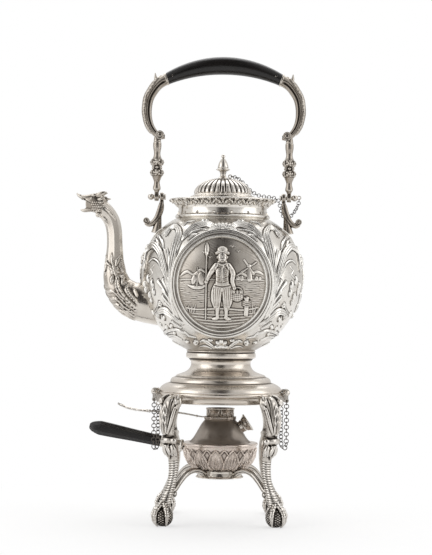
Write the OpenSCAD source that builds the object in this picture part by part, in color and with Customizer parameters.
// Spirit kettle on a four-legged stand with a spirit lamp, in millimetres.
// Z is up from the table, and -X points to the spout. The kettle's own axis stands at x = axis_x.

/* [Kettle] */
// Greatest radius of the globular body
body_r = 70; // [64:1:76]
// Height from the body's base to its widest point
body_low_h = 65; // [60:1:72]
// Height from the widest point to the neck
body_high_h = 48; // [44:1:54]
// Thickness of the sheet that the kettle is raised from
wall = 1.4; // [1:0.1:2.2]
// Radius of the body where the neck stands
neck_r = 39.5; // [37:0.5:42]
// Height of the neck from the shoulder to its rim
neck_h = 15.5; // [13:0.5:19]
// Radius of the flared rim
rim_r = 45; // [43:0.5:48]
// Radius of the mouth that the lid closes
mouth_r = 25; // [22:0.5:26]
// Height of the oval medallion on each side
medal_h = 90; // [80:1:94]
// Width of the oval medallion on each side
medal_w = 85; // [76:1:92]
// Height of the medallion's moulded frame above the body
medal_rise = 2; // [1:0.1:2.4]
// Width of the medallion's moulded frame
frame_w = 7; // [6:0.5:10]
// Height of the chased leaves above the body
relief_h = 1.3; // [0.8:0.1:1.6]
// Radius of the spout where it leaves the body
spout_root_r = 16.5; // [14:0.5:18]
// Height of the spout's root above the body's base
spout_root_h = 40; // [36:1:48]

/* [Kettle foot] */
// Radius of the ring under the body
collar_r = 29.7; // [28:0.5:32]
// Radius of the foot's rim on the stand
foot_r = 52.5; // [48:0.5:56]
// Height of the foot
foot_h = 35; // [32:1:40]

/* [Lid] */
// Height of the fluted dome
dome_h = 13.6; // [11:0.2:17]
// Number of flutes round the dome
flutes = 32; // [24:1:36]
// Height of the finial
finial_h = 21; // [18:0.5:26]
// How far the lid's plug reaches into the mouth
plug_h = 5; // [3:0.5:8]

/* [Handle] */
// Distance from the kettle's axis to each post of the handle
post_x = 56.2; // [54:0.2:58]
// Height of the pivot above the neck's foot
pivot_h = 18; // [16:0.5:22]
// Height of each post above its pivot
post_h = 47; // [42:1:52]
// Radius of the pivot pins
pivot_pin_r = 1.6; // [1.2:0.1:2]
// Height of the grip's top above the posts
bow_h = 73.5; // [68:0.5:80]
// Thickness of the ebony grip at its middle
grip_t = 15.2; // [12:0.2:18]
// Half the length of the ebony grip
grip_half = 49; // [45:0.5:52]

/* [Stand] */
// Height of the stand's ring above the table
stand_h = 109; // [104:1:116]
// Height of the ring's apron
apron_h = 9; // [7:0.5:12]
// Radius of the stand's ring
ring_r = 53; // [51:0.5:57]
// Distance from the axis to the ball of each foot
foot_reach = 65.5; // [60:0.5:70]
// Radius of the ball that each claw grips
ball_r = 8.2; // [7:0.2:9.5]
// Radius of the hinge pins
hinge_pin_r = 1.5; // [1:0.1:2]
// Radius of the ring that the lamp sits in
lamp_ring_r = 19.5; // [18:0.5:22]
// Height of the lamp's seat above the table
lamp_seat_h = 38; // [34:0.5:42]

/* [Lamp] */
// Greatest radius of the lamp's bowl
bowl_r = 32; // [28:0.5:35]
// Height of the bowl
bowl_h = 28; // [24:0.5:32]
// Height of the shoulder over the bowl
shoulder_h = 19.5; // [16:0.5:21]
// Radius of the regulator sleeve
sleeve_r = 11.8; // [10.5:0.1:13]
// Height of the regulator sleeve
sleeve_h = 9.5; // [8:0.5:12]
// Number of slots in the sleeve
sleeve_slots = 6; // [4:1:8]
// Length of the lamp's ebony handle
lamp_handle_l = 62; // [50:1:70]
// Reach of the regulator's lever from the lamp's axis
lever_reach = 88; // [80:1:95]

/* [Chains] */
// Thickness of the wire in the pins' chains
link_wire = 0.7; // [0.5:0.05:0.8]
// Thickness of the wire in the lid's chain
lid_link_wire = 0.56; // [0.4:0.02:0.64]

/* [Hidden] */
$fn = 48;
gap = 0.3;          // clearance between pieces that move past each other
fit = 0.09;         // radial clearance of a pin in its bore
eps = 0.02;         // overrun of a cut

// Heights above the table
base_z = stand_h + foot_h;
eq_z = base_z + body_low_h;
neck_z = eq_z + body_high_h;
rim_z = neck_z + neck_h;
lid_z = rim_z + 2;
pivot_z = neck_z + pivot_h;
post_top_z = pivot_z + post_h;
grip_top_z = post_top_z + bow_h;

// The body's outline is one arc above its widest point and one below
base_r = collar_r - 1;
up_rad = (pow(body_r - neck_r, 2) + pow(body_high_h, 2)) / (2 * (body_r - neck_r));
low_rad = (pow(body_r - base_r, 2) + pow(body_low_h, 2)) / (2 * (body_r - base_r));
up_x = body_r - up_rad;
low_x = body_r - low_rad;
function shoulder_z(r) = eq_z + sqrt(pow(up_rad, 2) - pow(r - up_x, 2));
function belly_r(z) = low_x + sqrt(pow(low_rad, 2) - pow(z - eq_z, 2));

// The spout's middle line, from its root on the body, and its radius at each point
spout_z = base_z + spout_root_h;
spout_x = -belly_r(spout_z);
spout_steps = [[5, -1.5, 1.02], [0.4, -0.4, 1], [-7.4, 1.9, 0.96], [-15.4, 6, 0.86], [-22.2, 13.2, 0.74],
    [-25.5, 22.3, 0.63], [-26.1, 29.4, 0.55], [-26.5, 36.2, 0.48], [-26.4, 43.8, 0.43],
    [-26.5, 51.2, 0.4], [-27, 60.8, 0.4], [-28.9, 69.1, 0.41], [-32.7, 75.6, 0.42], [-38, 81, 0.43]];
spout_path = [for (s = spout_steps) [spout_x + s[0], 0, spout_z + s[1]]];
spout_rad = [for (s = spout_steps) spout_root_r * s[2]];
spout_end = spout_path[len(spout_path) - 1];
spout_wall = 1.2;
snout_l = 21.5;     // from the end of the spout's tube to the tip of the beast's lip
// The frame's origin is under the middle of the whole object, so the axis is set to the side of it
spout_reach = snout_l - spout_end[0];
axis_x = (spout_reach - body_r) / 2;

// Rings of the sweeps
function unit(v) = v / norm(v);
function heading(p, i) = unit(p[min(i + 1, len(p) - 1)] - p[max(i - 1, 0)]);
function ring(p, i, a, b, up, n, turn) =
    let (t = heading(p, i), s = unit(cross(up, t)), w = cross(t, s))
    [for (k = [0 : n - 1]) p[i] + s * a * cos(360 * k / n + turn) + w * b * sin(360 * k / n + turn)];
function quad(a, b, c, d) = [[a, b, c], [a, c, d]];
function flat1(l) = [for (a = l) for (b = a) b];

// A solid tube with its own radius along and across at each point of the path
module sweep(path, along, across, n = 12, up = [0, 1, 0], turn = 0) {
    m = len(path);
    points = flat1([for (i = [0 : m - 1]) ring(path, i, along[i], across[i], up, n, turn)]);
    sides = flat1([for (i = [0 : m - 2]) flat1([for (k = [0 : n - 1])
        quad(i * n + k, i * n + (k + 1) % n, (i + 1) * n + (k + 1) % n, (i + 1) * n + k)])]);
    start = [for (k = [1 : n - 2]) [0, k + 1, k]];
    end = [for (k = [1 : n - 2]) [(m - 1) * n, (m - 1) * n + k, (m - 1) * n + k + 1]];
    polyhedron(points, [for (f = concat(sides, start, end)) [f[0], f[2], f[1]]]);
}

// The same tube with a bore all the way through it
module pipe(path, rad, thick, n = 16, up = [0, 1, 0]) {
    m = len(path);
    outer = flat1([for (i = [0 : m - 1]) ring(path, i, rad[i], rad[i], up, n, 0)]);
    inner = flat1([for (i = [0 : m - 1]) ring(path, i, rad[i] - thick, rad[i] - thick, up, n, 0)]);
    o = m * n;
    skin = flat1([for (i = [0 : m - 2]) flat1([for (k = [0 : n - 1])
        quad(i * n + k, (i + 1) * n + k, (i + 1) * n + (k + 1) % n, i * n + (k + 1) % n)])]);
    bore = [for (f = skin) [f[0] + o, f[2] + o, f[1] + o]];
    lip0 = flat1([for (k = [0 : n - 1]) quad(k, (k + 1) % n, (k + 1) % n + o, k + o)]);
    e = (m - 1) * n;
    lip1 = flat1([for (k = [0 : n - 1]) quad(e + k, e + k + o, e + (k + 1) % n + o, e + (k + 1) % n)]);
    polyhedron(concat(outer, inner), concat(skin, bore, lip0, lip1));
}

// Part of a circle as points, from angle a to angle b
function arc(cx, cy, r, a, b, n = 8) = [for (i = [0 : n]) let (t = a + (b - a) * i / n) [cx + r * cos(t), cy + r * sin(t)]];
function oval(w, h, n = 40) = [for (i = [0 : n - 1]) [w / 2 * cos(360 * i / n), h / 2 * sin(360 * i / n)]];

// Half the body's section, drawn in by t
module body_section(t = 0) {
    intersection() {
        union() {
            intersection() {
                translate([up_x, eq_z]) circle(up_rad - t, $fn = 96);
                translate([0, eq_z]) square([2 * body_r, 2 * body_high_h]);
            }
            if (up_x > 0) translate([0, eq_z]) square([up_x, up_rad - t]);
            intersection() {
                translate([low_x, eq_z]) circle(low_rad - t, $fn = 96);
                translate([0, eq_z - 2 * body_low_h]) square([2 * body_r, 2 * body_low_h]);
            }
        }
        translate([0, base_z + max(t, 0)]) square([2 * body_r, neck_z - base_z - max(t, 0)]);
    }
}
module body_solid() rotate_extrude($fn = 96) body_section();

// Chased leaves: each point is an angle from the front, a share of the height and half a width
function skin_r(z) = z > eq_z ? up_x + sqrt(pow(up_rad, 2) - pow(z - eq_z, 2)) : belly_r(z);
function skin_at(a, v, down) = let (z = eq_z + v * (v > 0 ? body_high_h : body_low_h), r = skin_r(z) - down)
    [r * sin(a), -r * cos(a), z];
function sunk(half) = (half * half + relief_h * relief_h) / (2 * relief_h);
leaves = [
    [[39.8, -0.22, 1.3], [41.6, 0.06, 3], [42.2, 0.34, 3], [43, 0.56, 2.8], [48, 0.74, 1.2]],
    [[45, -0.12, 1.5], [51, 0.22, 3.6], [61, 0.44, 3.8], [73, 0.42, 3], [77, 0.22, 1.3]],
    [[42, -0.42, 1.5], [44.5, -0.3, 2.8], [49, -0.18, 3], [57, -0.2, 1.3]],
    [[41, -0.58, 1.5], [45.5, -0.5, 2.9], [51, -0.46, 2.8], [59, -0.53, 1.2]],
    [[39, -0.7, 1.5], [45, -0.645, 2.9], [54, -0.645, 2.8], [66, -0.71, 1.2]],
    [[36, -0.79, 1.4], [46, -0.775, 2.8], [62, -0.81, 2.8], [84, -0.88, 1.2]],
    [[10.5, 0.885, 1.2], [17, 0.865, 2.3], [25, 0.78, 2.3], [31, 0.64, 1]],
    [[8, -0.955, 1], [18, -0.95, 2.2], [28, -0.9, 2.2], [34.5, -0.84, 1]]];
module leaf(l) sweep([for (p = l) skin_at(p[0], p[1], sunk(p[2]) - relief_h)], [for (p = l) sunk(p[2])],
    [for (p = l) sunk(p[2])], 6, [sin(50), -cos(50), 0], 30);
module boss(a, v, half) translate(skin_at(a, v, sunk(half) - relief_h)) sphere(r = sunk(half), $fn = 24);
module body_relief() {
    for (l = leaves, x = [0, 1], y = [0, 1]) mirror([x, 0, 0]) mirror([0, y, 0]) leaf(l);
    for (y = [0, 1]) mirror([0, y, 0]) {
        boss(0, -0.895, 3.2);
        boss(0, 0.95, 3.6);
        for (x = [0, 1]) mirror([x, 0, 0]) boss(13, -0.885, 2.5);
        leaf([[83, 0.16, 3.6], [84, 0.02, 1.5], [84, -0.1, 3], [84.6, -0.2, 1.2], [85, -0.32, 2.2]]);
    }
}
module kettle_body() color("silver") difference() {
    body_solid();
    rotate_extrude($fn = 96) {
        body_section(wall);
        translate([0, neck_z - 2 * wall]) square([neck_r - 2 * wall, 8 * wall]);
    }
    // hole behind the spout
    translate([spout_x - 6, 0, spout_z]) rotate([0, 90, 0]) cylinder(h = 20, r = spout_root_r * 0.7);
}
// The raised leaves and bosses, which stand on the body's skin and stop below the neck
module body_ornament() color("silver") difference() {
    body_relief();
    body_solid();
    translate([0, 0, neck_z - 0.05]) cylinder(h = 20, r = body_r, $fn = 48);
}

neck_in = neck_r - 3.6;
module kettle_neck() color("silver") rotate_extrude($fn = 96) difference() {
    union() {
        translate([0, neck_z]) square([neck_r + 0.8, 2.2]);
        polygon(concat([[0, neck_z + 2]], arc(neck_r + 5, neck_z + neck_h * 0.45, 7.2, 225, 128, 8),
            [[rim_r, rim_z - 1], [rim_r, rim_z], [mouth_r + 4, lid_z], [0, lid_z]]));
    }
    polygon([[0, neck_z - 1], [neck_in, neck_z - 1], [neck_in, rim_z - 3], [mouth_r + 4, rim_z - 0.6],
        [mouth_r, rim_z - 0.6], [mouth_r, lid_z + 1], [0, lid_z + 1]]);
}

// Pendent drops cast under the flared rim
module neck_border() color("silver") {
    drops = 24;
    drop_r = 1.3;
    for (i = [0 : drops - 1]) rotate(360 * i / drops) difference() {
        translate([rim_r - 2, 0, rim_z - 2.6]) sphere(r = drop_r, $fn = 24);
        kettle_neck();
    }
}

// Small pointed leaves that stand on the ring at the neck's foot
module neck_studs() color("silver") {
    studs = 16;
    stud_h = 2.2;
    for (i = [0 : studs - 1]) rotate(360 * (i + 0.5) / studs)
        difference() {
            translate([neck_r - 0.1, 0, neck_z + 2.2]) cylinder(h = stud_h, r1 = 0.9, r2 = 0.25, $fn = 24);
            kettle_neck();
        }
}

medal_z = base_z + 0.87 * body_low_h;
// The scene on the plaque: a fisher with an oar and a basket on a shore, a boat and a mill
function in_medal(p, at = [0, 0]) = [for (q = p) [(q[0] + at[0]) * medal_w / 85, (q[1] + at[1]) * medal_h / 90]];
fisher = [[0, 30.3], [3, 29.8], [5, 25.6], [4.2, 19.4], [3, 16.2], [6.6, 15.6], [9.6, 9], [10.9, 1.5], [11.6, -4.6], [8.6, -5],
    [7.4, -1], [9.3, -9], [9.2, -15.5], [6.2, -20.8], [5.4, -27], [8.4, -28.4], [8.2, -30.3], [1.8, -30.3], [1.6, -21], [0, -10]];
module near_shape() {
    polygon(in_medal(fisher));
    mirror([1, 0]) polygon(in_medal(fisher));
    polygon(in_medal([[-15, 21], [-14.6, 31], [-12.7, 33.4], [-10.8, 31], [-10.4, 21], [-12, 20], [-12, -29.6], [-13.6, -29.6],
        [-13.6, 20]]));
    polygon(in_medal(oval(10.4, 9, 14), [12.6, -10.6]));
}
module far_shape() {
    polygon(in_medal([[-29, -1.4], [-20.9, -1.4], [-26.4, 0.4], [-21, 9], [-20.4, 13.4], [-13.4, 0.4], [-12, -1], [-14.5, -5], [-26, -5]]));
    polygon(in_medal([[19.8, 3.6], [24.6, 3.6], [23.2, 14], [20.8, 14]]));
    for (a = [35, 125]) polygon(in_medal([for (q = [[-7, -0.8], [7, -0.8], [7, 0.8], [-7, 0.8]])
        [q[0] * cos(a) - q[1] * sin(a), q[0] * sin(a) + q[1] * cos(a)]], [22, 13.6]));
    polygon(in_medal([[18.3, -24], [22.5, -24], [22.2, -11], [18.2, -11]]));
    polygon(in_medal([[-27.5, -22], [27.5, -22], [21, -29.6], [10, -34.5], [-10, -34.5], [-21, -29.6]]));
}
// The part of the shell over the body, up to this rise, that lies behind a shape as seen from the front
module raised_to(rise) intersection() {
    rotate_extrude($fn = 96) body_section(-rise);
    translate([0, 0, medal_z]) rotate([90, 0, 0]) linear_extrude(body_r + 10) children();
}
module frame_ring(outer, inner) difference() {
    polygon(oval(medal_w - 2 * outer, medal_h - 2 * outer));
    polygon(oval(medal_w - 2 * inner, medal_h - 2 * inner));
}
module medallion() color("gainsboro") difference() {
    union() {
        raised_to(0.5) polygon(oval(medal_w - frame_w, medal_h - frame_w));
        raised_to(medal_rise) frame_ring(0, 0.34 * frame_w);
        raised_to(0.45 * medal_rise) frame_ring(0.3 * frame_w, 0.7 * frame_w);
        raised_to(0.85 * medal_rise) frame_ring(0.66 * frame_w, frame_w);
        raised_to(2.2) near_shape();
        raised_to(1.2) far_shape();
    }
    body_solid();
}

module spout() color("silver") difference() {
    pipe(spout_path, spout_rad, spout_wall);
    body_solid();
}

// Beast's head: a muzzle with an open mouth, brow, ears and mane, hollow for the water
head_at = [spout_end[0], 0, spout_end[2]];
head_r = spout_rad[len(spout_rad) - 1];
module spout_head() color("silver") translate(head_at) {
    difference() {
        union() {
            // skull, whose first ring is the tube's last one
            sweep([[0, 0, 0], [-2.7, 0, 2.75], [-6.4, 0, 4.2], [-10, 0, 4.4], [-13.4, 0, 4.2]],
                [head_r, head_r * 1.1, head_r * 1.14, head_r * 1.02, head_r * 0.86],
                [head_r, head_r * 1.02, head_r * 0.95, head_r * 0.82, head_r * 0.66], 16);
            // upper lip that curls up, the chin, and the two ears
            sweep([[-9, 0, 8.6], [-14, 0, 8.8], [-18, 0, 9.6], [-snout_l, 0, 11.6]], [3, 2.4, 1.7, 0.9], [4.6, 3.8, 2.8, 1.2], 8);
            sweep([[-7, 0, -0.6], [-12, 0, -1.6], [-16.4, 0, -3.4]], [2.8, 2.2, 1.2], [4.4, 3.4, 1.4], 8);
            for (side = [-1, 1]) sweep([[-4, side * 4, 9], [0, side * 6, 11.4], [4, side * 7.2, 12.4]],
                [2.6, 2, 0.6], [1.6, 1.2, 0.4], 8);
        }
        translate([0.5, 0, -0.5]) rotate([0, -71, 0]) cylinder(h = 30, r = 3.6, $fn = 32);
    }
}

// The foot: domed rim, rounded step, drawn-in neck and the collar under the body, spun from sheet
module kettle_foot() color("lightgray") rotate_extrude($fn = 96) difference() {
    translate([0, stand_h]) polygon(concat([[0, 0], [foot_r, 0], [foot_r, 1.3]],
        arc(foot_r - 9.6, -1.2, 9, 16, 88, 6),
        [[foot_r - 9.6, 7.4]], arc(foot_r - 14, 8.8, 4, -10, 80, 6),
        [[foot_r - 14.4, 13.6], [foot_r - 19.5, 16]],
        arc(foot_r - 18.2, foot_h - 11.6, 9, 235, 152, 8),
        [[collar_r - 2.5, foot_h - 7.4], [collar_r, foot_h - 6.2], [collar_r, foot_h - 1.8],
        [collar_r - 1, foot_h - 1.3], [collar_r - 1, foot_h], [0, foot_h]]));
    translate([0, stand_h]) polygon([[0, -1], [foot_r - 2, -1], [foot_r - 3.2, 2.4], [foot_r - 8, 5.6],
        [foot_r - 11.5, 7.4], [foot_r - 14.6, 10.6], [foot_r - 19, 13], [foot_r - 25, 16.4],
        [foot_r - 28.9, foot_h - 14], [foot_r - 28.9, foot_h - 9], [collar_r - 4, foot_h - 6.4],
        [collar_r - 4, foot_h - 3], [0, foot_h - 3]]);
}

// Hinge between the kettle and the stand: axis along Y on each side
hinge_x = ring_r + 3.2;
hinge_z = stand_h;
knuckle_r = 2.8;
eye_w = 6;
knuckle_w = 3.7;
module foot_solid() rotate_extrude($fn = 96) polygon([[0, stand_h - 1], [foot_r, stand_h - 1], [foot_r, stand_h + 1.6],
    [foot_r - 0.6, stand_h + 5], [0, stand_h + 5]]);
module lug_arm(side) difference() {
    translate([side < 0 ? -hinge_x : foot_r - 3, -eye_w / 2, stand_h + gap])
        cube([hinge_x - foot_r + 3, eye_w, 2.4]);
    foot_solid();
}
module along_y(x, z, r, w) translate([x, w / 2, z]) rotate([90, 0, 0]) cylinder(h = w, r = r, $fn = 32);

module hinge_eye() color("silver") difference() {
    union() {
        along_y(-hinge_x, hinge_z, knuckle_r, eye_w);
        lug_arm(-1);
    }
    along_y(-hinge_x, hinge_z, hinge_pin_r + fit, eye_w + 2);
}

// A hook that drops over the back pin and lifts off it as the kettle tips forward
module back_hook() color("silver") difference() {
    union() {
        along_y(hinge_x, hinge_z, knuckle_r, eye_w);
        lug_arm(1);
    }
    along_y(hinge_x, hinge_z, hinge_pin_r + 0.15, eye_w + 2);
    translate([hinge_x - hinge_pin_r - 0.15, -eye_w, hinge_z - 2 * knuckle_r]) cube([2 * hinge_pin_r + 0.3, 2 * eye_w, 2 * knuckle_r]);
}

module knuckles(side) color("silver") for (y = [-1, 1]) translate([0, y * (eye_w / 2 + gap + knuckle_w / 2), 0]) difference() {
    union() {
        along_y(side * hinge_x, hinge_z, knuckle_r, knuckle_w);
        translate([side < 0 ? -hinge_x - 1.5 : ring_r - 5, -knuckle_w / 2, stand_h - 8])
            cube([hinge_x - ring_r + 6.5, knuckle_w, 8 - gap]);
    }
    along_y(side * hinge_x, hinge_z, hinge_pin_r + fit, knuckle_w + 2);
    translate([0, -y * (eye_w / 2 + gap + knuckle_w / 2), 0]) rotate_extrude($fn = 96) ring_outline();
}

pin_back = eye_w / 2 + gap + knuckle_w + 1.5;
tab_l = 6.6;
module hinge_pin(side) color("silver") translate([side * hinge_x, 0, hinge_z]) {
    front = -pin_back;
    translate([0, pin_back, 0]) rotate([90, 0, 0]) cylinder(h = 2 * pin_back, r = hinge_pin_r, $fn = 32);
    difference() {
        union() {
            translate([0, front, 0]) rotate([90, 0, 0]) cylinder(h = 1.4, r = hinge_pin_r + 1, $fn = 32);
            translate([-1.3, front - 1.4, -tab_l]) cube([2.6, 1.4, tab_l]);
            translate([0, front, -tab_l]) rotate([90, 0, 0]) cylinder(h = 1.4, r = 1.9, $fn = 32);
        }
        translate([0, front + 1, -tab_l]) rotate([90, 0, 0]) cylinder(h = 4, r = 1.1, $fn = 32);
    }
}

// Ears on the shoulder, each with an eye for its pivot pin
ear_eye_w = 4;
post_eye_w = 4.4;
knuckle_x = post_x + 0.4;
eye_x = knuckle_x - post_eye_w / 2 - gap - ear_eye_w / 2;
pivot_eye_r = 3.9;
module along_x(x, z, r, w) translate([x - w / 2, 0, z]) rotate([0, 90, 0]) cylinder(h = w, r = r, $fn = 32);
module ear() color("silver") difference() {
    union() {
        along_x(eye_x, pivot_z, pivot_eye_r, ear_eye_w);
        // bow down to the shoulder, then the scroll that turns outwards
        sweep([[eye_x, 0, pivot_z - 1], [eye_x, 0, pivot_z - 4.4], [eye_x + 0.2, 0, pivot_z - 7.4], [eye_x + 1.2, 0, pivot_z - 12.5],
            [eye_x + 3.6, 0, pivot_z - 18], [eye_x + 7, 0, pivot_z - 22], [eye_x + 10.6, 0, pivot_z - 23.8],
            [eye_x + 13.4, 0, pivot_z - 22.4]], [1.9, 1.9, 2.7, 3, 2.7, 2.3, 1.9, 1.5], [2.6, 3, 3.5, 4, 4.4, 4, 3.4, 3], 10);
        translate([eye_x + 13, 3.2, pivot_z - 20.8]) rotate([90, 0, 0]) cylinder(h = 6.4, r = 2.5, $fn = 32);
        // pad that is soldered to the shoulder
        translate([eye_x + 2.4, 0, shoulder_z(eye_x + 2.4) - 2]) cylinder(h = 8, r1 = 6, r2 = 3.6, $fn = 32);
    }
    body_solid();
    along_x(eye_x, pivot_z, pivot_pin_r + fit, 3 * ear_eye_w);
}

module pivot_pin(ringed) color("silver") {
    inner = eye_x - ear_eye_w / 2;
    outer = knuckle_x + post_eye_w / 2;
    head_r = 2.8;
    translate([inner - 1.2, 0, pivot_z]) rotate([0, 90, 0]) cylinder(h = outer - inner + 3, r = pivot_pin_r, $fn = 32);
    translate([inner - 1.3, 0, pivot_z]) rotate([0, 90, 0]) cylinder(h = 1.2, r = pivot_pin_r + 1, $fn = 32);
    translate([outer + head_r - 0.2, 0, pivot_z]) intersection() {
        sphere(r = head_r, $fn = 48);
        translate([-head_r + 0.5, -head_r, -head_r]) cube(2 * head_r);
    }
    // eye for the lid's chain
    if (ringed) translate([outer + 2 * head_r + 0.9, 0, pivot_z + 0.4]) rotate([90, 0, 0])
        rotate_extrude($fn = 48) translate([1.5, 0]) circle(0.45, $fn = 24);
}

post_block = 9.4;
module post() color("silver") translate([knuckle_x, 0, 0]) difference() {
    union() {
        along_x(0, pivot_z, pivot_eye_r, post_eye_w);
        translate([0, 0, pivot_z + 2]) cylinder(h = 4, r = post_eye_w / 2 - 0.1, $fn = 48);
        translate([0, 0, pivot_z + 5]) cylinder(h = 1.5, r1 = post_eye_w / 2 - 0.1, r2 = 3, $fn = 48);
        translate([0, 0, pivot_z + 6.4]) cylinder(h = 3.6, r1 = 3, r2 = 2.2, $fn = 48);
        translate([0, 0, pivot_z + 9.8]) cylinder(h = 4.2, r1 = 2.2, r2 = 2.2, $fn = 48);
        translate([0, 0, pivot_z + 13.8]) cylinder(h = 4.4, r1 = 2.2, r2 = 4.4, $fn = 48);
        // square block with a waist and a rosette on each face
        translate([-post_block / 2, -post_block / 2, pivot_z + 18]) cube([post_block, post_block, 5]);
        translate([-post_block * 0.42, -post_block * 0.42, pivot_z + 22.8]) cube([post_block * 0.84, post_block * 0.84, 4.4]);
        translate([-post_block / 2, -post_block / 2, pivot_z + 27]) cube([post_block, post_block, 5]);
        translate([0, 0, pivot_z + 31.8]) cylinder(h = 5, r1 = 4.4, r2 = 1.9, $fn = 48);
        translate([0, 0, pivot_z + 36.6]) cylinder(h = post_h - 36.6 - 3.5, r1 = 1.9, r2 = 3.2, $fn = 48);
        translate([0, 0, post_top_z - 4]) cylinder(h = 4, r = 3.3, $fn = 48);
    }
    along_x(0, pivot_z, pivot_pin_r + fit, 3 * post_eye_w);
}

// The bow: two cast scrolls and an ebony grip between them
bow_r = 107;
bow_end_z = grip_top_z - grip_t / 2 - (bow_r - sqrt(bow_r * bow_r - grip_half * grip_half));
bow_c_z = grip_top_z - grip_t / 2 - bow_r;
bow_end_a = asin(grip_half / bow_r);
tenon_r = 2.4;
rivet_r = 0.8;
rivet_in = 5.4;
scroll_drop = bow_end_z - post_top_z;
scroll_steps = [[0, 1], [0.32, 0.925], [0.56, 0.82], [0.76, 0.68], [0.84, 0.52], [0.82, 0.35],
    [0.7, 0.2], [0.5, 0.09], [0.28, 0.03], [0.06, 0.03]];
module scroll() color("silver") {
    reach = 19.5;
    path = [for (s = scroll_steps) [grip_half + reach * s[0], 0, post_top_z + 3.2 + (scroll_drop - 3.2) * s[1]]];
    sweep(concat([path[0] + 0.6 * [cos(bow_end_a), 0, -sin(bow_end_a)]], [for (i = [1 : 9]) path[i]]),
        [4.9, 4.6, 4.4, 4.3, 4.1, 3.8, 3.4, 3, 2.7, 2.4], [5, 4.6, 4.3, 4.2, 4, 3.8, 3.5, 3.3, 3, 2.8], 12);
    // volute over the post
    translate([knuckle_x - 2.2, 3.4, post_top_z + 6.2]) rotate([90, 0, 0]) cylinder(h = 6.8, r = 3.7, $fn = 48);
    translate([knuckle_x, 0, post_top_z]) cylinder(h = 4, r1 = 3.3, r2 = 2.4, $fn = 48);
    // spur of the leaf on its back
    sweep([path[1] + [2, 0, 1], path[1] + [4.2, 0, 4.4], path[1] + [4, 0, 9]], [2.4, 1.7, 0.4], [3.4, 2.2, 0.5], 8);
    // tenon in the grip
    translate(path[0]) rotate([0, -90 - bow_end_a, 0]) translate([0, 0, -2]) difference() {
        cylinder(h = 12, r = tenon_r, $fn = 32);
        translate([0, 8, 2 + rivet_in]) rotate([90, 0, 0]) cylinder(h = 16, r = rivet_r, $fn = 24);
    }
}

module grip() color("#1c1a1c") difference() {
    steps = 16;
    path = [for (i = [0 : steps]) let (a = -bow_end_a + 2 * bow_end_a * i / steps) [bow_r * sin(a), 0, bow_c_z + bow_r * cos(a)]];
    thick = [for (i = [0 : steps]) let (u = 2 * i / steps - 1) grip_t / 2 - (grip_t / 2 - 4.9) * pow(abs(u), 1.8)];
    sweep(path, thick, [for (t = thick) t * 0.92 + 0.4], 16);
    for (side = [-1, 1]) translate([side * grip_half, 0, bow_end_z]) rotate([0, side * (-90 - bow_end_a), 0])
        translate([0, 0, -1]) cylinder(h = 11.5, r = tenon_r + fit, $fn = 32);
    rivets(16);
}
module rivets(l) for (side = [-1, 1])
    translate([side * (grip_half - rivet_in * cos(bow_end_a)), l / 2, bow_end_z + rivet_in * sin(bow_end_a)])
        rotate([90, 0, 0]) cylinder(h = l, r = rivet_r, $fn = 24);
module grip_rivets() color("silver") rivets(11.2);

// Lid: flange, fluted dome, finial and the nut that holds it
flange_r = mouth_r + 2.8;
dome_z = lid_z + 3;
dome_r = mouth_r - 0.8;
module lid_flange() color("silver") rotate_extrude($fn = 96) difference() {
    union() {
        translate([0, lid_z]) square([flange_r, 1.2]);
        polygon(concat([[0, lid_z + 1]], arc(flange_r - 0.2, lid_z + 3.2, 2.2, 260, 200, 4), [[dome_r, dome_z], [0, dome_z]]));
        translate([0, lid_z - plug_h]) square([mouth_r - gap, plug_h + eps]);
    }
    translate([0, lid_z - plug_h - 1]) square([mouth_r - gap - 1.6, plug_h + 6]);
}
dome_top_r = 4;
function dome_rad(u) = dome_top_r + (dome_r - dome_top_r) * pow(1 - pow(u, 2), 0.58);
dome_wall = 1.5;
hole_r = 1.6;
// A fluted shell: the rings run up the outside, down the screw's hole and back down the inside
module lid_dome() color("silver") {
    n = 3 * flutes;
    rows = 7;
    levels = [for (j = [0 : rows]) sin(90 * j / rows)];
    rings = concat([for (u = levels) [dome_rad(u), dome_h * u, 0.045]],
        [[hole_r, dome_h, 0], [hole_r, dome_h - dome_wall, 0]],
        [for (j = [rows : -1 : 0]) let (u = levels[j]) [dome_rad(u) - dome_wall - 0.1, (dome_h - dome_wall) * u, 0]]);
    m = len(rings);
    points = flat1([for (g = rings) [for (k = [0 : n - 1]) let (r = g[0] * (1 - (k % 3 == 0 ? g[2] : 0)))
        [r * cos(360 * k / n), r * sin(360 * k / n), dome_z + g[1]]]]);
    polyhedron(points, flat1([for (j = [0 : m - 1]) flat1([for (k = [0 : n - 1])
        quad(j * n + k, (j + 1) % m * n + k, (j + 1) % m * n + (k + 1) % n, j * n + (k + 1) % n)])]));
}
finial_z = dome_z + dome_h;
module lid_finial() color("silver") {
    k = finial_h / 21;
    translate([0, 0, finial_z - 5.4]) cylinder(h = 5.5, r = hole_r - fit, $fn = 32);
    rotate_extrude($fn = 64) translate([0, finial_z]) polygon([[0, 0], [4, 0], [3.6, 0.9 * k], [2.7, 1.8 * k], [2.4, 3.6 * k],
        [2.9, 5.4 * k], [5.2, 7 * k], [6.1, 8 * k], [5.9, 8.6 * k], [4.7, 9.2 * k], [4.3, 10.4 * k], [3.7, 12.6 * k],
        [2.9, 15 * k], [2.2, 16.6 * k], [1.2, 17.6 * k], [1, 18 * k], [0, 18 * k]]);
    translate([0, 0, finial_z + finial_h - 1.7]) sphere(r = 1.7, $fn = 32);
}
module finial_nut() color("silver") translate([0, 0, finial_z - dome_wall - 2]) difference() {
    cylinder(h = 1.9, r = 3.4, $fn = 6);
    translate([0, 0, -1]) cylinder(h = 4, r = hole_r - fit, $fn = 32);
}
eye_at = [6.2, 4.2, dome_z + dome_h - 0.9];
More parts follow.
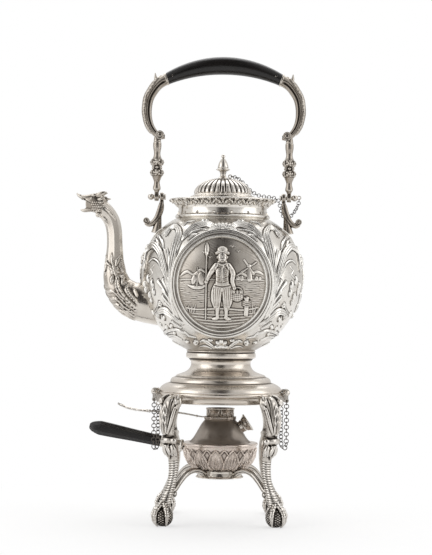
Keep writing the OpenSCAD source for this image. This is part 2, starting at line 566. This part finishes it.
module lid_eye() color("silver") {
    translate(eye_at) cylinder(h = 2.2, r = 1.1, $fn = 24);
    translate(eye_at + [0, 0, 3.1]) rotate([90, 0, 20]) rotate_extrude($fn = 48) translate([1.5, 0]) circle(0.45, $fn = 24);
}

// A chain is a row of round links, each turned a quarter against the last
function spaced(p, pitch, at = 0, i = 0, last = undef) =
    i >= len(p) - 1 ? [] :
    let (a = last == undef ? p[0] : last, d = norm(p[i + 1] - a))
    d < pitch ? spaced(p, pitch, at, i + 1, a) :
    let (q = a + unit(p[i + 1] - a) * pitch) concat([q], spaced(p, pitch, at, i, q));
function stepped(route, pitch) = concat([route[0]], spaced(route, pitch));
// The same with the last link at the route's end, turned as the first one is
function route_l(p, i = 0) = i >= len(p) - 1 ? 0 : norm(p[i + 1] - p[i]) + route_l(p, i + 1);
function walk(p, s, i = 0) = let (l = norm(p[i + 1] - p[i]))
    i >= len(p) - 2 || s <= l ? p[i] + unit(p[i + 1] - p[i]) * s : walk(p, s - l, i + 1);
function evened(route, pitch) = let (l = route_l(route), n = 2 * ceil(l / pitch / 2)) [for (i = [0 : n]) walk(route, l * i / n)];
module chain(at, link_r, wire) color("silver") {
    for (i = [0 : len(at) - 1]) {
        d = unit(at[min(i + 1, len(at) - 1)] - at[max(i - 1, 0)]);
        az = atan2(d[1], d[0]);
        el = acos(d[2]);
        translate(at[i]) rotate([0, el, az]) rotate([90, 0, i % 2 == 0 ? 90 : 0])
            rotate_extrude($fn = 32) translate([link_r, 0]) circle(wire / 2, $fn = 16);
    }
}
link_r = 1.85;
lid_link_r = 1.5;
chain_y = -(pin_back + 0.7);
chain_top = hinge_z - tab_l - 1.9;
hang = 40.5;
function loop_route(x0, x1, y0, y1, top, low, rise) = concat(
    [for (t = [0 : 0.1 : 1]) [x0, y0, top - (top - low - 2) * t]],
    [for (a = [15 : 15 : 165]) [(x0 + x1) / 2 + (x0 - x1) / 2 * cos(a), y0 + (y1 - y0) * a / 180, low + 2 - 2 * sin(a)]],
    [for (t = [0 : 0.1 : 1]) [x1, y1, low + 2 + (rise - low - 2) * t]]);
left_route = loop_route(-hinge_x, -hinge_x + 3.6, chain_y, chain_y - 2, chain_top, chain_top - hang, chain_top - 3);
right_route = loop_route(hinge_x, hinge_x - 4.4, chain_y, chain_y + 2, chain_top, chain_top - hang + 2, chain_top - 3);
link_pitch = 2 * link_r - link_wire - 0.06;
module chain_left() chain(stepped(left_route, link_pitch), link_r, link_wire);
module chain_right() chain(stepped(right_route, link_pitch), link_r, link_wire);

// Staples under the ring for the chains' other ends
module chain_staples() color("silver") for (side = [-1, 1]) {
    end = side < 0 ? left_route[len(left_route) - 1] : right_route[len(right_route) - 1];
    translate([end[0], end[1], end[2] + 1.9]) rotate([90, 0, 0]) rotate_extrude($fn = 32) translate([1.5, 0]) circle(0.45, $fn = 16);
}

lid_ring = eye_at + [0, 0, 3.1];
pin_ring = [knuckle_x + post_eye_w / 2 + 6.5, 0, pivot_z + 0.4];
link_reach = 1.5 + lid_link_r - (0.45 + lid_link_wire / 2 + 0.07);
lid_route = [lid_ring + link_reach * [cos(20), sin(20), 0], [12.4, 7.6, dome_z + 15], [18.2, 11, dome_z + 10.4],
    [24, 12.6, dome_z + 4.2], [30, 13, dome_z + 0.6], [36.5, 12, dome_z - 0.8], [43.4, 9.6, dome_z - 1.4],
    [47.8, 7.8, dome_z - 4], [49.6, 7.6, dome_z - 9.5], [50.8, 7.6, dome_z - 15], [53.2, 7.5, dome_z - 19.2],
    [58, 6.4, dome_z - 18.4], [62, 3.6, dome_z - 13.4], [pin_ring[0] - 1.2, 0, dome_z - 9.5],
    pin_ring - [0.3, 0, link_reach + 2.4], pin_ring - [0, 0, link_reach + 0.06]];
module lid_chain() chain(evened(lid_route, 2 * lid_link_r - lid_link_wire - 0.06), lid_link_r, lid_link_wire);

// Stand ring with a hollowed apron
module ring_outline() difference() {
    polygon(concat([[0, stand_h - apron_h], [ring_r - 5, stand_h - apron_h], [ring_r - 5, stand_h - apron_h + 1]],
        arc(ring_r + 0.5, stand_h - apron_h + 1.2, 5.5, 178, 118, 6), [[ring_r - 0.4, stand_h - 1.8], [ring_r, stand_h - 1.6], [ring_r, stand_h], [0, stand_h]]));
    translate([0, stand_h - apron_h - 1]) square([ring_r - 8, apron_h + 2]);
}
module stand_ring() color("lightgray") rotate_extrude($fn = 96) ring_outline();

// Legs on the diagonals; each step is the distance from the axis and the share of the way down
leg_spine = [[51.5, 0.04], [55.5, 0.07], [58.8, 0.155], [60.6, 0.26], [60.8, 0.365], [59, 0.455], [55.8, 0.55],
    [54.4, 0.66], [54.8, 0.78], [57, 0.89], [61, 1]];
leg_a = [2.6, 4, 5, 5, 5, 5.6, 5.2, 4.6, 4.2, 4.2, 4.6];
leg_b = [8, 9, 8, 6.6, 6, 6.6, 6.6, 5.4, 4.6, 4.6, 5.2];
ankle_z = 2.9 * ball_r;
leg_path = [for (s = leg_spine) [s[0], 0, stand_h - s[1] * (stand_h - ankle_z)]];
leg_angles = [225, 315, 135, 45];
module leg_cut() sweep(leg_path, leg_a, leg_b, 14);
module leg(i) color("silver") rotate(leg_angles[i]) difference() {
    union() {
        leg_cut();
        // leaf that turns over at the knee
        translate([leg_path[5][0] + 3.4, 5, leg_path[5][2] + 1]) rotate([90, 0, 0]) cylinder(h = 10, r = 3.4, $fn = 32);
    }
    rotate_extrude($fn = 96) ring_outline();
    translate([0, 0, stand_h - gap]) cylinder(h = 20, r = 80);
}

// Claw that grips a ball: three talons in front and one behind, all from the ankle
module talon(reach, top) sweep(
    concat([[top, 0, ankle_z - 3.6 - ball_r + 0.5]], [for (t = [48, 24, 0, -24, -44]) [reach * cos(t), 0, reach * sin(t)]]),
    [2.6, 2.7, 2.5, 2.2, 1.7, 0.8], [3, 2.7, 2.5, 2.4, 1.9, 1], 8);
module foot(i) color("silver") rotate(leg_angles[i]) difference() {
    union() {
        translate([foot_reach, 0, ball_r - 0.5]) {
            sphere(r = ball_r, $fn = 64);
            for (a = [-62, 0, 62]) rotate(a) talon(ball_r + 0.6, 1);
            rotate(180) talon(ball_r + 0.3, 4);
        }
        sweep([[leg_path[10][0] - 0.6, 0, ankle_z + 2.4], [foot_reach - 3, 0, ankle_z - 3], [foot_reach - 1, 0, 1.7 * ball_r]],
            [4.3, 5.6, 6.6], [5.2, 6.6, 6.8], 12);
    }
    translate([0, 0, -20]) cube([200, 200, 40], center = true);
    leg_cut();
}

// Ring that the lamp's foot drops into, held by four scrolled arms
lamp_foot_r = lamp_ring_r - 3.2;
seat_depth = 4.6;
module lamp_ring() color("silver") rotate_extrude($fn = 96) difference() {
    polygon([[lamp_foot_r - 3, lamp_seat_h - 2], [lamp_ring_r + 0.8, lamp_seat_h - 2], [lamp_ring_r + 0.8, lamp_seat_h - 1],
        [lamp_ring_r - 0.6, lamp_seat_h + 0.6], [lamp_ring_r - 1, lamp_seat_h + seat_depth], [lamp_foot_r - 3, lamp_seat_h + seat_depth]]);
    translate([0, lamp_seat_h]) square([lamp_foot_r + 0.15, 10]);
}
module arm(i) color("silver") rotate(leg_angles[i]) difference() {
    sweep([[lamp_ring_r - 2, 0, lamp_seat_h + 1.6], [lamp_ring_r + 5, 0, lamp_seat_h + 4], [lamp_ring_r + 13, 0, lamp_seat_h + 5],
        [lamp_ring_r + 21, 0, lamp_seat_h + 2.6], [lamp_ring_r + 28, 0, lamp_seat_h - 2.6], [leg_path[9][0] - 3, 0, ankle_z + 5],
        [leg_path[10][0] - 2, 0, ankle_z + 2.6]],
        [2.6, 2.8, 2.8, 2.7, 2.6, 2.4, 2.4], [3.4, 3.6, 3.6, 3.4, 3.2, 3, 3], 10);
    rotate_extrude($fn = 96) polygon([[0, lamp_seat_h - 2], [lamp_ring_r + 0.8, lamp_seat_h - 2], [lamp_ring_r + 0.8, lamp_seat_h - 1],
        [lamp_ring_r - 0.6, lamp_seat_h + 0.6], [lamp_ring_r - 1, lamp_seat_h + seat_depth], [0, lamp_seat_h + seat_depth + 6]]);
    leg_cut();
}

// Spirit lamp
bowl_top = lamp_seat_h + bowl_h;
bowl_wall = 1.2;
bowl_base = lamp_seat_h + seat_depth + 0.6;
bowl_steps = [[0.56, 0], [0.735, 0.09], [0.85, 0.24], [0.935, 0.46], [0.98, 0.72], [1, 0.96], [1, 1]];
function bowl_points(t) = [for (s = bowl_steps) [bowl_r * s[0] - t, bowl_base + (bowl_top - bowl_base) * s[1]]];
module lamp_bowl() color("silver") rotate_extrude($fn = 96) difference() {
    union() {
        polygon(concat([[0, bowl_base]], bowl_points(0), [[0, bowl_top]]));
        translate([0, lamp_seat_h]) square([lamp_foot_r, bowl_base - lamp_seat_h + eps]);
    }
    polygon(concat([[0, bowl_base + bowl_wall]], [[bowl_r * 0.56 - bowl_wall, bowl_base + bowl_wall]],
        [for (i = [1 : 4]) bowl_points(bowl_wall)[i]], [[bowl_r - 6.4, bowl_top - 4], [bowl_r - 6.4, bowl_top + 1], [0, bowl_top + 1]]));
    translate([0, lamp_seat_h - 1]) square([lamp_foot_r - 1.4, bowl_base - lamp_seat_h]);
}
shoulder_top = bowl_top + shoulder_h;
shoulder_steps = [[0, 1], [0.16, 0.83], [0.38, 0.66], [0.62, 0.5], [0.8, 0.39], [0.93, 0.22], [1, 0]];
shoulder_base_r = bowl_r - 5.6;
shoulder_top_r = 12.6;
function shoulder_points(t) = [for (s = shoulder_steps)
    [shoulder_top_r + (shoulder_base_r - shoulder_top_r) * s[1] - t, bowl_top + shoulder_h * s[0] - (s[0] > 0.9 ? t : 0)]];
filler_z = bowl_top + 0.68 * shoulder_h;
filler_r = 5.2;
filler_tilt = 56;
module filler_axis() translate([shoulder_top_r + 3.2, 0, filler_z - 1.5]) rotate([0, filler_tilt, 0]) children();
tube_r = 5.4;
module lamp_shoulder() color("#6f655c") difference() {
    rotate_extrude($fn = 96) difference() {
        polygon(concat([[0, bowl_top]], shoulder_points(0), [[0, shoulder_top]]));
        polygon(concat([[0, bowl_top - 1]], [[shoulder_base_r - bowl_wall, bowl_top - 1]], shoulder_points(bowl_wall), [[0, shoulder_top - bowl_wall]]));
    }
    translate([0, 0, shoulder_top - 5]) cylinder(h = 10, r = tube_r, $fn = 48);
    filler_axis() cylinder(h = 20, r = filler_r - 1, $fn = 32);
}

// Burner: wick tube, base plate and the fixed slotted wall inside the sleeve
plate_h = 1.2;
burner_r = sleeve_r - 0.9;
module slots(r, n, w, low, high, from) for (i = [0 : n - 1])
    rotate(360 * (i + 0.5) / n) translate([from, -w / 2, low]) cube([r, w, high - low]);
module burner() color("#7d7268") difference() {
    union() {
        translate([0, 0, bowl_base + 8]) cylinder(h = shoulder_top + 7 - bowl_base - 8, r = tube_r, $fn = 48);
        translate([0, 0, shoulder_top]) cylinder(h = plate_h, r = sleeve_r + 1.9);
        difference() {
            translate([0, 0, shoulder_top]) cylinder(h = sleeve_h - 0.4, r = burner_r - fit);
            translate([0, 0, shoulder_top + plate_h]) cylinder(h = sleeve_h, r = burner_r - 1);
        }
    }
    translate([0, 0, bowl_base]) cylinder(h = 60, r = tube_r - 1, $fn = 48);
    slots(20, sleeve_slots, 2.4, shoulder_top + 2.6, shoulder_top + sleeve_h - 2, tube_r + 1);
}
module wick() color("#d8cfb8") translate([0, 0, bowl_base + 4]) cylinder(h = shoulder_top + 8.6 - bowl_base - 4, r = tube_r - 1 - fit, $fn = 48);
sleeve_z = shoulder_top + plate_h + 0.1;
sleeve_top = shoulder_top + sleeve_h;
module regulator() color("silver") difference() {
    union() {
        translate([0, 0, sleeve_z]) cylinder(h = sleeve_top - sleeve_z, r = sleeve_r, $fn = 64);
        translate([0, 0, sleeve_z]) cylinder(h = 1.1, r = sleeve_r + 1.9, $fn = 64);
        translate([0, 0, sleeve_top - 1]) cylinder(h = 1, r = sleeve_r + 0.4, $fn = 64);
    }
    translate([0, 0, sleeve_z - 1]) cylinder(h = 30, r = burner_r, $fn = 64);
    slots(20, sleeve_slots, 1.8, sleeve_z + 1.7, sleeve_top - 1.6, burner_r - 1);
}
lever_z = sleeve_z + 0.55;
module lever() color("silver") difference() {
    union() {
        sweep([[-sleeve_r - 1, 0, lever_z], [-sleeve_r - 5, 0, lever_z + 0.2], [-35, 0, lever_z + 3.2], [-52, 0, lever_z + 4], [-62, 0, lever_z + 4.6]],
            [0.5, 0.6, 0.8, 0.8, 0.8], [0.7, 0.75, 0.8, 0.8, 0.9], 8);
        translate([-60, 0, lever_z + 4.5]) sphere(r = 1.6, $fn = 24);
        sweep([[-61, 0, lever_z + 4.5], [-66, 0, lever_z + 5], [-73, 0, lever_z + 5.8], [-80, 0, lever_z + 7.4], [-lever_reach, 0, lever_z + 10.6]],
            [0.9, 0.9, 1, 0.9, 0.5], [1.2, 3.2, 4.2, 3.2, 0.7], 10);
    }
    translate([0, 0, sleeve_z - 2]) cylinder(h = 5, r = sleeve_r + 1.9, $fn = 64);
}

neck_out = 5.4;
module filler_neck() color("silver") difference() {
    filler_axis() translate([0, 0, -4]) cylinder(h = 4 + neck_out, r = filler_r, $fn = 48);
    filler_axis() translate([0, 0, -9]) cylinder(h = 30, r = filler_r - 1, $fn = 48);
    shoulder_blank();
}
module shoulder_blank() rotate_extrude($fn = 96) polygon(concat([[0, bowl_top]], shoulder_points(0), [[0, shoulder_top]]));
module filler_stopper() color("silver") filler_axis() {
    translate([0, 0, neck_out + 0.1]) cylinder(h = 3.4, r1 = filler_r + 0.6, r2 = filler_r + 2.2, $fn = 48);
    translate([0, 0, neck_out + 3.5]) cylinder(h = 1.3, r = filler_r + 2.8, $fn = 48);
    translate([0, 0, neck_out - 3]) cylinder(h = 3.2, r = filler_r - 1 - fit, $fn = 48);
}

// Ebony handle in a silver ferrule on the bowl
handle_tilt = 11.5;
handle_z = bowl_top - 3.4;
module handle_axis() translate([-bowl_r, 0, handle_z]) rotate([0, -90 + handle_tilt, 0]) children();
ferrule_l = 19;
module bowl_blank() rotate_extrude($fn = 96) polygon(concat([[0, bowl_base]], bowl_points(0), [[0, bowl_top]]));
module lamp_ferrule() color("silver") difference() {
    handle_axis() translate([0, 0, -3]) cylinder(h = 3 + ferrule_l, r1 = 5, r2 = 4.6, $fn = 48);
    handle_axis() translate([0, 0, 8]) cylinder(h = 20, r = 3.1 + fit, $fn = 48);
    handle_axis() translate([0, 8, 13]) rotate([90, 0, 0]) cylinder(h = 16, r = 0.8, $fn = 24);
    bowl_blank();
}
module lamp_handle() color("#1c1a1c") difference() {
    handle_axis() {
        translate([0, 0, 8.2]) cylinder(h = ferrule_l - 8, r = 3.1, $fn = 48);
        sweep([[0, 0, ferrule_l + 0.05], [0, 0, ferrule_l + lamp_handle_l - 9], [0, 0, ferrule_l + lamp_handle_l]],
            [4.5, 6.2, 2.2], [4.5, 6.2, 2.2], 8, [0, 1, 0], 22.5);
    }
    handle_axis() translate([0, 8, 13]) rotate([90, 0, 0]) cylinder(h = 16, r = 0.8, $fn = 24);
}
module lamp_rivet() color("silver") handle_axis() translate([0, 5.1, 13]) rotate([90, 0, 0]) cylinder(h = 10.2, r = 0.75, $fn = 24);

module placed() translate([axis_x, 0, 0]) children();
module left() mirror([1, 0, 0]) children();

placed() kettle_body();
placed() body_ornament();
placed() kettle_neck();
placed() neck_border();
placed() neck_studs();
placed() medallion();  // front_medallion
placed() mirror([0, 1, 0]) medallion();  // back_medallion
placed() spout();
placed() spout_head();
placed() kettle_foot();
placed() hinge_eye();
placed() back_hook();
placed() left() ear();  // ear_left
placed() ear();  // ear_right
placed() left() pivot_pin(false);  // pivot_pin_left
placed() pivot_pin(true);  // pivot_pin_right
placed() lid_flange();
placed() lid_dome();
placed() lid_finial();
placed() finial_nut();
placed() lid_eye();
placed() lid_chain();
placed() grip();
placed() left() scroll();  // scroll_left
placed() scroll();  // scroll_right
placed() left() post();  // post_left
placed() post();  // post_right
placed() grip_rivets();
placed() stand_ring();
placed() leg(0);  // leg_front_left
placed() leg(1);  // leg_front_right
placed() leg(2);  // leg_back_left
placed() leg(3);  // leg_back_right
placed() foot(0);  // foot_front_left
placed() foot(1);  // foot_front_right
placed() foot(2);  // foot_back_left
placed() foot(3);  // foot_back_right
placed() lamp_ring();
placed() arm(0);  // arm_front_left
placed() arm(1);  // arm_front_right
placed() arm(2);  // arm_back_left
placed() arm(3);  // arm_back_right
placed() knuckles(-1);  // knuckles_left
placed() knuckles(1);  // knuckles_right
placed() hinge_pin(-1);  // pin_left
placed() hinge_pin(1);  // pin_right
placed() chain_left();
placed() chain_right();
placed() chain_staples();
placed() lamp_bowl();
placed() lamp_shoulder();
placed() burner();
placed() wick();
placed() regulator();
placed() lever();
placed() filler_neck();
placed() filler_stopper();
placed() lamp_ferrule();
placed() lamp_handle();
placed() lamp_rivet();
